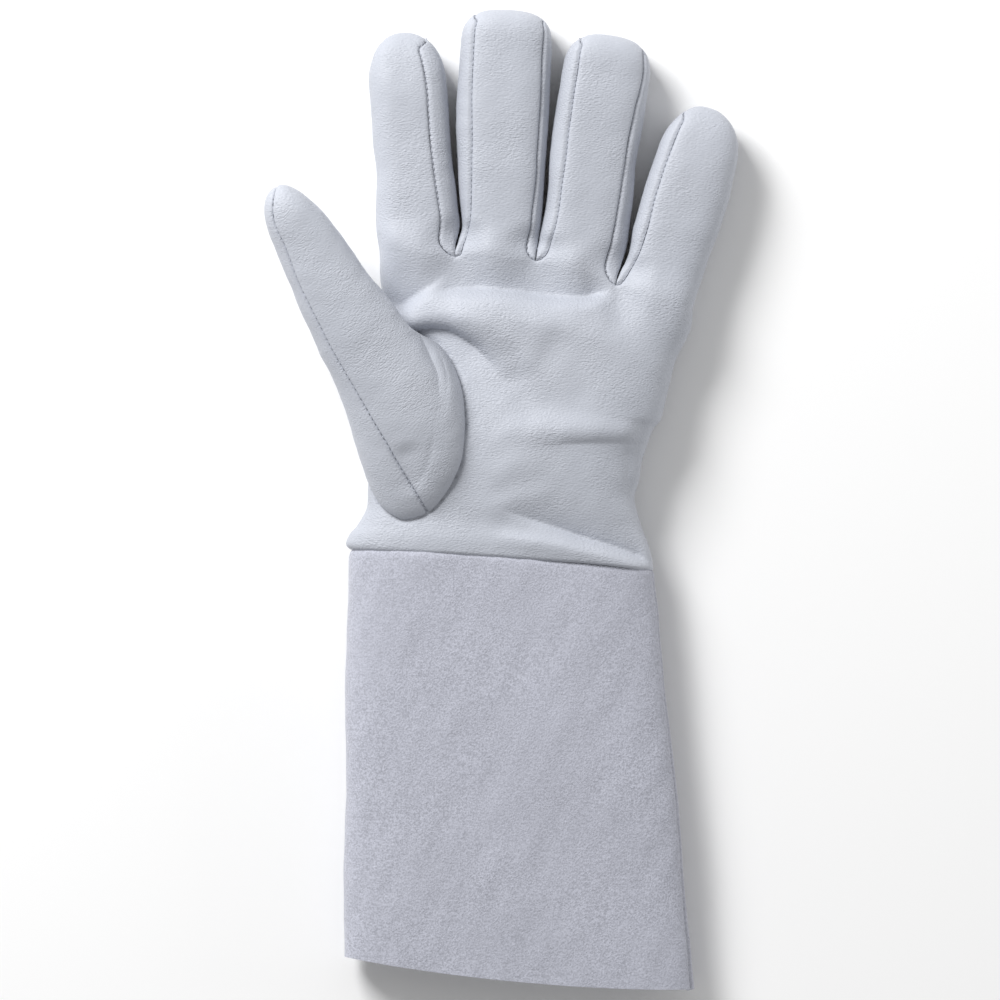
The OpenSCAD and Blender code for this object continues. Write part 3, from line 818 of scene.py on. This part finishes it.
def thumb_loft(mouth, count=84):
    """Rows of the thumb's base, from the mouth up to the thumb's own sections."""
    goal = thumb_section(LOFT_END, mouth[:, 3])
    start = mouth[:, :3]
    far = np.linalg.norm(goal - start, axis=1, keepdims=True)
    steep, bulge = (smooth(points, mouth[:, 3])[:, None] for points in (LOFT_STEEP, LOFT_BULGE))
    first = units(goal - start) * (1 - 0.5 * steep) + steep * UP - bulge * THUMB_ACROSS
    first = units(first)
    c1 = start + first * np.minimum(0.33 * far, 12)
    c2 = goal - THUMB_DIR * 0.42 * far
    t = spread(count, 0.3)[:, None, None]
    return ((1 - t)**3 * start + 3 * (1 - t)**2 * t * c1 + 3 * (1 - t) * t**2 * c2 + t**3 * goal)


def thumb_grids(mouth):
    """Grids of the front panel and of the back panel from the mouth to the tip, and their zones."""
    loft = thumb_loft(mouth)
    start, turns = THUMB_LONG - THUMB_TIP, mouth[:, 3]
    distances = [*np.linspace(LOFT_END, start, 46)[1:], *tip_rows(start, THUMB_TIP)]
    rings = [(ring, seam_turn(LOFT_END)) for ring in loft]
    rings += [(thumb_section(s, turns), seam_turn(s)) for s in distances]
    front, back = [], []
    for ring, seam in rings:
        for rows, wanted in ((front, mix(seam, UNDER_SEAM - 360, spread(101, 0.3))),
                             (back, mix(UNDER_SEAM, seam, spread(51, 0.3)))):
            rows.append(np.stack([np.interp(wanted % 360, turns, ring[:, k]) for k in range(3)], 1))
    # rows up to just past the middle between the hinges are in the root zone
    split = (THUMB_HINGE_AT + THUMB_JOINT_AT) / 2 + 2
    zones = ["root"] * len(loft) + ["root" if s <= split else "tip" for s in distances]
    return np.array(front), np.array(back), zones


def shape_thumb(skin):
    """Folds on the thumb's top side, and some unevenness."""
    top = ease((skin.normals()[:, 2] - 0.1) / 0.4)
    skin.lift(fold_height(THUMB_FOLDS, skin.p) * top)
    skin.roughen([(0.16, 20, 11), (0.06, 8, 12)])


# ---------- cuff ----------

SIDE_COLUMN = 25         # column of the cuff's ring that its side seam follows
# Place of the cuff's two sides and height of its top, at shares of the way to the cut edge.
CUFF_LEFT = [(0, -55.2), (0.04, -56.2), (0.3, -57), (1, -57.6)]
CUFF_RIGHT = [(0, 56.6), (0.1, 58.3), (0.33, 62), (0.66, 67), (1, 71.9)]
CUFF_TOP = [(0, 27.4), (0.04, 27.4), (0.3, 27), (0.7, 25.6), (1, 23.6)]
CUFF_MIDDLE = 12.2       # height of the cuff's edges
CUFF_POWER = 0.62        # how boxy its section is in width, and in height
CUFF_LIFT_POWER = 0.66
CUFF_LOW, CUFF_HIGH = (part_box(name)[0].y / MM for name in ("cuff_side", "cuff_fold"))


def cuff_mouth(x):
    """Y of the cuff's cut edge: it runs lower to the little finger side."""
    left, right = CUFF_LEFT[-1][1], CUFF_RIGHT[-1][1]
    return mix(CUFF_LOW, CUFF_HIGH, np.clip((right - x) / (right - left), 0, 1)**2)


def cuff_ring(v, columns):
    """A ring round the cuff at the share v of the way from the wrist seam to the cut edge."""
    left, right, top = (smooth(points, v) for points in (CUFF_LEFT, CUFF_RIGHT, CUFF_TOP))
    turn = np.linspace(-np.pi / 4, 2 * np.pi - np.pi / 4, 721)
    x = (left + right) / 2 + (right - left) / 2 * boxy(np.cos(turn), CUFF_POWER)
    lift = abs(np.sin(turn))**CUFF_LIFT_POWER
    over = CUFF_MIDDLE + (top - CUFF_MIDDLE) * lift
    under = CUFF_MIDDLE * (1 - lift)**1.5
    x, z = along(np.stack([x, np.where(np.sin(turn) >= 0, over, under)], 1), columns).T
    return np.column_stack([x, mix(wrist_line(x) + CUFF_TUCK, cuff_mouth(x), v), z])


# ---------- materials ----------

class Nodes:
    """Short ways to add nodes to a material."""

    def __init__(self, name):
        self.material = bpy.data.materials.new(name)
        self.material.use_nodes = True
        self.tree = self.material.node_tree
        self.shader = self.tree.nodes["Principled BSDF"]

    def add(self, kind, links=(), **values):
        node = self.tree.nodes.new(kind)
        for key, value in values.items():
            setattr(node, key, value)
        for socket, source in dict(links).items():
            self.put(node, socket, source)
        return node

    def put(self, node, socket, source):
        if hasattr(source, "outputs"):
            source = source.outputs[0]
        if isinstance(source, bpy.types.NodeSocket):
            self.tree.links.new(source, node.inputs[socket])
        else:
            node.inputs[socket].default_value = source

    def math(self, kind, a, b=0.0):
        return self.add("ShaderNodeMath", {0: a, 1: b}, operation=kind)

    def grain_place(self):
        """Where a point of the leather is in the leather's rest shape, in millimetres."""
        return self.add("ShaderNodeAttribute", attribute_name="grain").outputs["Vector"]

    def noise(self, vector, scale=1.0, detail=3.0, rough=0.5):
        return self.add("ShaderNodeTexNoise", {"Vector": vector, "Scale": scale, "Detail": detail,
                                               "Roughness": rough})

    def scaled(self, vector, *factors):
        """A vector times one number, or times a number for each axis."""
        factors = factors * 3 if len(factors) == 1 else factors
        return self.add("ShaderNodeVectorMath", {0: vector, 1: factors}, operation="MULTIPLY")

    def ramp(self, value, low=0.3, high=0.7, to_low=0.0, to_high=1.0):
        return self.add("ShaderNodeMapRange", {"Value": value, "From Min": low, "From Max": high,
                                               "To Min": to_low, "To Max": to_high})

    def colours(self, factor, first, second):
        """Mixes two colours; each is (red, green, blue) or a socket."""
        first, second = ((*c, 1) if isinstance(c, tuple) else c for c in (first, second))
        node = self.add("ShaderNodeMix", {0: factor, 6: first, 7: second}, data_type="RGBA")
        return node.outputs[2]

    def bump(self, strength, distance, height):
        links = {"Strength": strength, "Distance": distance, "Height": height}
        self.put(self.shader, "Normal", self.add("ShaderNodeBump", links))

    def finish(self, **values):
        """Sets shader inputs, such as Base_Color, and returns the material."""
        for name, value in values.items():
            self.put(self.shader, name.replace("_", " "), value)
        return self.material


def tinted(colour, *shares):
    """A colour times one number, or times a number for each channel."""
    return tuple(c * share for c, share in zip(colour, shares * 3 if len(shares) == 1 else shares))


def grain_leather(colour):
    """Smooth leather with fine wrinkles across the fingers, a little under a millimetre apart."""
    n = Nodes("grain_leather")
    place = n.grain_place()
    drift = n.noise(n.scaled(place, 0.22), detail=1.0).outputs["Color"]
    bent = n.add("ShaderNodeVectorMath", {0: place, 1: n.scaled(drift, 0.9)}, operation="ADD")
    wrinkle = n.noise(n.scaled(bent, 0.9, 2.1, 1.7), detail=2.0)
    pebble = n.add("ShaderNodeTexVoronoi", {"Vector": n.scaled(bent, 1.0, 1.7, 1.3), "Scale": 1.0},
                   feature="SMOOTH_F1")
    patch = n.ramp(n.noise(n.scaled(place, 0.05)), 0.35, 0.65, 0.45, 1.0)
    height = n.math("SUBTRACT", n.math("MULTIPLY", wrinkle, 0.9), n.math("MULTIPLY", pebble, 0.6))
    n.bump(patch, 0.00038, height)
    tone = n.ramp(n.noise(n.scaled(place, 0.025), detail=4.0))
    tint = n.colours(n.ramp(wrinkle), tinted(colour, 0.93), colour)
    return n.finish(Base_Color=n.colours(tone, tint, tinted(colour, 1.04, 1.035, 1.03)),
                    Roughness=n.ramp(wrinkle, to_low=0.56, to_high=0.46),
                    Specular_IOR_Level=0.4, Sheen_Weight=0.06)


def split_leather(colour):
    """Napped leather: fibres in small clumps and clouds of brighter and darker nap."""
    n = Nodes("split_leather")
    place = n.grain_place()
    fibre = n.noise(n.scaled(place, 1.5, 1.3, 1.5), rough=0.6)
    clump = n.noise(n.scaled(place, 0.6, 0.55, 0.6), detail=2.0)
    n.bump(0.7, 0.0005, n.math("ADD", n.math("MULTIPLY", fibre, 1.0), n.math("MULTIPLY", clump, 0.3)))
    fleck = n.math("ADD", n.math("MULTIPLY", fibre, 0.8), n.math("MULTIPLY", clump, 0.2))
    tint = n.colours(n.ramp(fleck, 0.38, 0.6), tinted(colour, 0.76), tinted(colour, 1.16))
    cloud = n.ramp(n.noise(n.scaled(place, 0.03)), to_high=0.5)
    return n.finish(Base_Color=n.colours(cloud, tint, tinted(colour, 0.96)), Roughness=0.95,
                    Specular_IOR_Level=0.15, Sheen_Weight=0.25, Sheen_Roughness=0.6)


def woven(name, colour, size, contrast=0.75):
    """Thread, tape or elastic: slanting ribs, finer for a smaller size, and some roughness."""
    n = Nodes(name)
    place = n.add("ShaderNodeTexCoord").outputs["Object"]
    ribs = n.add("ShaderNodeTexWave", {"Vector": place, "Scale": 1 / (size * MM) / 6.28,
                                       "Distortion": 1.5, "Detail": 2.0},
                 wave_type="BANDS", bands_direction="DIAGONAL")
    rough = n.noise(n.scaled(place, 1 / MM), 1.2)
    both = n.math("ADD", n.math("MULTIPLY", ribs, 0.7), n.math("MULTIPLY", rough, 0.3))
    n.bump(0.6, 0.0003, both)
    return n.finish(Base_Color=n.colours(both, tinted(colour, contrast), colour), Roughness=0.8,
                    Sheen_Weight=0.15)


MATERIALS = {"grain_leather": grain_leather((0.475, 0.498, 0.555)),
             "split_leather": split_leather((0.467, 0.478, 0.548)),
             "thread": woven("thread", (0.44, 0.46, 0.52), 0.4),
             "elastic": woven("elastic", (0.78, 0.78, 0.78), 0.8),
             "tape": woven("tape", (0.66, 0.67, 0.68), 0.6),
             "label": woven("label", (0.82, 0.82, 0.83), 0.5, 0.9)}


# ---------- building ----------

def bend_at_wrist(piece):
    """Bakes a piece of the hand's leather into its mesh where it lies."""
    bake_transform(piece)


def bend_finger(piece):
    """Bakes a finger's root or tip piece into its mesh where it lies."""
    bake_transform(piece)


def bend_thumb(piece, part):
    if part == "root":
        bodies, hinge, reach = ("hand", "thumb_lower"), THUMB_ROOT, THUMB_HINGE_AT
    else:
        bodies, hinge, reach = ("thumb_lower", "thumb_upper"), THUMB_JOINT, JOINT_ZONE
    ends = (Vector(hinge + step * THUMB_DIR) * MM for step in (-reach, reach))
    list(ends)
    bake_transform(piece)


def build_hand():
    """The hand leather in one skin: palm, back and the fronts and backs of the fingers."""
    grids = [finger.grids() for finger in FINGERS]
    skin = Skin("hand_leather")
    fronts, backs = hand_strips(grids, True), hand_strips(grids, False)
    for finger, found, front, back in zip(FINGERS, grids, fronts, backs):
        skin.add(front, ["palm"] * len(front))
        skin.add(back, ["palm"] * len(back), flip=True)
        skin.add(found["front"], finger.zones())
        skin.add(found["back"][:, ::-1], finger.zones(), flip=True)
    skin.weld()
    side = np.concatenate([fronts[-1][:, -1], grids[-1]["front"][1:, -1]])
    edge = np.concatenate([fronts[:, 0].reshape(-1, 3), backs[:, 0].reshape(-1, 3)[::-1]])
    return skin, grids, side, edge


def inside_mouth(points, mouth, margin):
    """True for points in plan that lie inside the mouth by more than the margin."""
    far = abs(from_line(points, mouth)[0])
    x, y = points[:, 0, None], points[:, 1, None]
    (ax, ay), (bx, by) = mouth[:-1, :2].T, mouth[1:, :2].T
    rise = np.where(abs(by - ay) < 1e-9, 1e-9, by - ay)
    crosses = ((ay > y) != (by > y)) & (x < ax + (y - ay) * (bx - ax) / rise)
    return (crosses.sum(1) % 2 == 1) & (far > margin)


def attach_hand(piece, zone):
    if zone == "palm":
        bend_at_wrist(piece)
        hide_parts("palm", "hand_back", "hand_fold", "hand_side", "wrist_leather")
        return
    bend_finger(piece)
    name, part = zone.split("_")
    if part == "root":
        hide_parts(name + "_knuckle_sleeve", name + "_lower_leather")
    else:
        wrapped = {"index": ["index_upper_left"], "little": ["little_upper_right"]}.get(name, [])
        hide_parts(name + "_joint_sleeve", name + "_upper_front", name + "_upper_back", *wrapped)


def build_fourchettes(grids):
    """Between two fingers one strip, folded at the crotch, makes the side of both."""
    built = []
    for first, second, one, two in zip(FINGERS, FINGERS[1:], grids, grids[1:]):
        pair = f"{first.name}_{second.name}"
        sides = {first.name: "right", second.name: "left"}
        skin = Skin("fourchette_" + pair)
        skin.add(one["right"], first.zones())
        skin.add(two["left"], second.zones(), flip=True)
        skin.weld()
        press(skin, over_edge(skin))
        skin.roughen([(0.10, 14, 21 + first.order), (0.05, 6, 25)])
        skin.roll_in(skin.border(), 1.3, 0.9)

        def attach(piece, zone, pair=pair, sides=sides):
            bend_finger(piece)
            name, part = zone.split("_")
            if part == "root":
                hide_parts(name + "_lower_fourchette", "crotch_" + pair)
            else:
                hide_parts(f"{name}_upper_{sides[name]}")
        skin.make(attach)
        built.append(skin)
    return built


def build_thumb(thread, mouth):
    """The thumb's two panels, sewn to the palm round the mouth and to each other along two seams."""
    front, back, zones = thumb_grids(mouth)
    skins = []
    for name, grid in (("front", front), ("back", back)):
        skin = Skin("thumb_" + name)
        skin.add(grid, zones)
        skin.weld()
        shape_thumb(skin)
        root = point_tree(grid[0])
        long_seams = skin.border(lambda mid: np.array([root.find(c)[2] > 1.0 for c in mid]))
        skin.roll_in(long_seams, 1.5, 1.0, 0.25, THUMB_DIR)
        skin.roll_in(skin.path(grid[0]), 1.8, 1.3, 0.1)
        skins.append(skin)

        def attach(piece, zone, name=name):
            bend_thumb(piece, zone)
            if zone == "root":
                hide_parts("thumb_base", "thumb_root_sleeve", "thumb_lower_" + name)
            else:
                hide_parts("thumb_joint_sleeve", "thumb_upper_" + name)
        # the grain's wrinkles run across the thumb, as they do on the fingers
        off = skin.rest - THUMB_START
        turned = np.stack([off @ THUMB_ACROSS, off @ THUMB_DIR, skin.rest[:, 2]], 1)
        skin.grain = 1.05 * turned + [200, 40, 0]
        skin.make(attach)
    cut = zones.index("tip")
    for column in (0, -1):
        thread.sew("thumb_root", front[:cut + 1, column], skins)
        thread.sew("thumb_tip", front[cut:-2, column], skins)
    thread.sew("thumb_base", front[0], skins[:1], 0.3)
    thread.sew("thumb_base", back[0], skins[1:], 0.3)


def build_cuff(thread):
    """The cuff's one piece, rolled in under the wrist seam and at its side seam."""
    columns = np.linspace(0, 1, 301)
    grid = np.array([cuff_ring(v, columns) for v in np.linspace(0, 1, 150)])
    skin = Skin("cuff_leather", SUEDE, "split_leather")
    skin.add(grid, [""] * (len(grid) - 1))
    skin.weld()
    skin.roughen([(0.35, 45, 31), (0.12, 12, 32)], np.clip(skin.p[:, 2] / 4, 0, 1))
    skin.roll_in(skin.border(lambda mid: mid[:, 1] > -60), 3.2, 2.6)
    skin.roll_in(skin.path(grid[:, SIDE_COLUMN]), 2.0, 1.2, 0.15)

    def attach(piece, zone):
        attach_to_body(piece, "cuff")
        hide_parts("cuff_front", "cuff_back", "cuff_fold", "cuff_side")
    skin.make(attach)
    thread.sew("cuff", grid[4:, SIDE_COLUMN], [skin], 0.5)


def lining_strip(name, skin, box, offset, thick, slot):
    """A strip inside the back of the hand that follows its gathers."""
    centres = skin.p[skin.q].mean(1)
    faces_down = skin.normals()[skin.q].mean(1)[:, 2] < -0.8
    low, high = box
    keep = faces_down & (centres[:, :2] > low[:2]).all(1) & (centres[:, :2] < high[:2]).all(1)
    strip = Skin(name, thick, slot)
    strip.q, strip.zone = skin.q[keep], np.full(keep.sum(), "")
    strip.p = skin.p - skin.normals() * offset
    strip.rest = skin.rest

    def attach(piece, zone):
        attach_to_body(piece, "hand")
        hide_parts(name)
    strip.make(attach)


def sew_fingers(thread, grids, hand, fourchettes, side_line):
    """Stitches along the fourchettes, over the finger tips and down the hand's side seam."""
    for finger, found in zip(FINGERS, grids):
        root, tip = finger.name + "_root", finger.name + "_tip"
        cut = finger.zones().index(tip)
        front, back = found["front"], found["back"]
        sides = []
        if finger.left_seam:
            sides.append((fourchettes[finger.order - 1], front[:, 0], back[:, -1]))
        if finger.right_seam:
            sides.append((fourchettes[finger.order], front[:, -1], back[:, 0]))
        for strip, *lines in sides:
            for line in lines:
                thread.sew(root, line[1:cut + 1], [hand, strip])
                thread.sew(tip, line[cut:-TIP_ROWS], [hand, strip])
        for column in (0, -1):
            thread.sew(tip, front[-TIP_ROWS:-1, column], [hand], 0.3)
    # the side seam runs on from the last finger, the little one, to the wrist
    line = front[:, -1]
    thread.sew(root, line[:cut + 1], [hand], 0.3)
    thread.sew(tip, line[cut:-TIP_ROWS], [hand], 0.3)
    thread.sew("side", side_line[4:-len(line)], [hand], 0.3)


def attach_thread(piece, zone):
    """Stitches get the same handling as the leather that they are in: baked where they lie, or attached
    to the cuff's body.
    """
    if zone in ("side", "wrist"):
        bend_at_wrist(piece)
    elif zone == "cuff":
        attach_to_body(piece, "cuff")
    elif zone.startswith("thumb"):
        bend_thumb(piece, "tip" if zone == "thumb_tip" else "root")
    else:
        bend_finger(piece)
    replaced = {"wrist": "wrist_seam_stitches", "cuff": "cuff_side_stitches",
                "thumb_base": "thumb_base_stitches"}
    if zone in replaced:
        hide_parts(replaced[zone])


# The hand leather is built, its mouth for the thumb is cut, and its seams are rolled in.
hand, finger_grids, side_line, lower_edge = build_hand()
mouth = mouth_line()
shape_palm(hand, mouth)
centres = hand.p[hand.q].mean(1)
hand.drop(~(inside_mouth(centres, mouth, 2.5) & (centres[:, 2] > 12)))
seams = hand.border(lambda mid: ~(inside_mouth(mid, mouth, 0.5) & (mid[:, 2] > 5)))
tips = [found["front"][-TIP_ROWS:, column] for found in finger_grids for column in (0, -1)]
tips = np.concatenate([hand.path(line) for line in tips])
hand.roll_in(np.concatenate([seams, tips, hand.path(side_line)]), pucker=0.12)
hand.make(attach_hand)
lining_strip("wrist_elastic", hand, ELASTIC_BOX, 1.15, 0.9, "elastic")
lining_strip("elastic_casing", hand, CASING_BOX, 2.25, 0.5, "tape")
fourchettes = build_fourchettes(finger_grids)
thread = Thread()
build_thumb(thread, mouth)
build_cuff(thread)
sew_fingers(thread, finger_grids, hand, fourchettes, side_line)
thread.sew("wrist", lower_edge, [hand], 0.35)
thread.make(attach_thread)

label = frame["nodes"]["cuff_label"]
label.data.materials.clear()
label.data.materials.append(MATERIALS["label"])


# ---------- floor, light and camera ----------

def build_floor():
    """A pale floor far wider than the view."""
    mesh = bpy.data.meshes.new("floor")
    size = 3.0
    corners = [(-size, -size, 0), (size, -size, 0), (size, size, 0), (-size, size, 0)]
    mesh.from_pydata(corners, [], [(0, 1, 2, 3)])
    mesh.materials.append(Nodes("floor").finish(Base_Color=(0.95, 0.95, 0.95, 1), Roughness=0.9,
                                                Specular_IOR_Level=0.1))
    floor = bpy.data.objects.new("floor", mesh)
    bpy.context.scene.collection.objects.link(floor)


def area_lamp(name, watts, size, place):
    """A square lamp that points at the origin."""
    light = bpy.data.lights.new(name, "AREA")
    light.energy, light.size = watts, size
    lamp = bpy.data.objects.new(name, light)
    lamp.location = place
    lamp.rotation_mode = "QUATERNION"
    lamp.rotation_quaternion = (-lamp.location).to_track_quat("-Z", "Y")
    bpy.context.scene.collection.objects.link(lamp)


def build_light():
    """Soft daylight all round, a key lamp at the upper left and a weak low lamp on the right."""
    scene = bpy.context.scene
    scene.world = bpy.data.worlds.new("studio")
    scene.world.use_nodes = True
    sky = scene.world.node_tree.nodes["Background"]
    sky.inputs["Color"].default_value = (1, 1, 1, 1)
    sky.inputs["Strength"].default_value = 0.42
    area_lamp("key", 42, 0.8, (-0.95, 1.25, 1.15))
    area_lamp("side", 3.6, 0.5, (1.5, 0.1, 0.3))
    scene.view_settings.view_transform = "Standard"


def build_camera():
    """A long lens straight above, which sees 0.37 m across at 15 mm above the floor."""
    data = bpy.data.cameras.new("camera")
    data.lens, data.sensor_width = 400, 36
    camera = bpy.data.objects.new("camera", data)
    camera.location = (0, 0, 0.370 * data.lens / data.sensor_width + 0.015)
    bpy.context.scene.collection.objects.link(camera)
    bpy.context.scene.camera = camera


build_camera()
build_floor()
build_light()
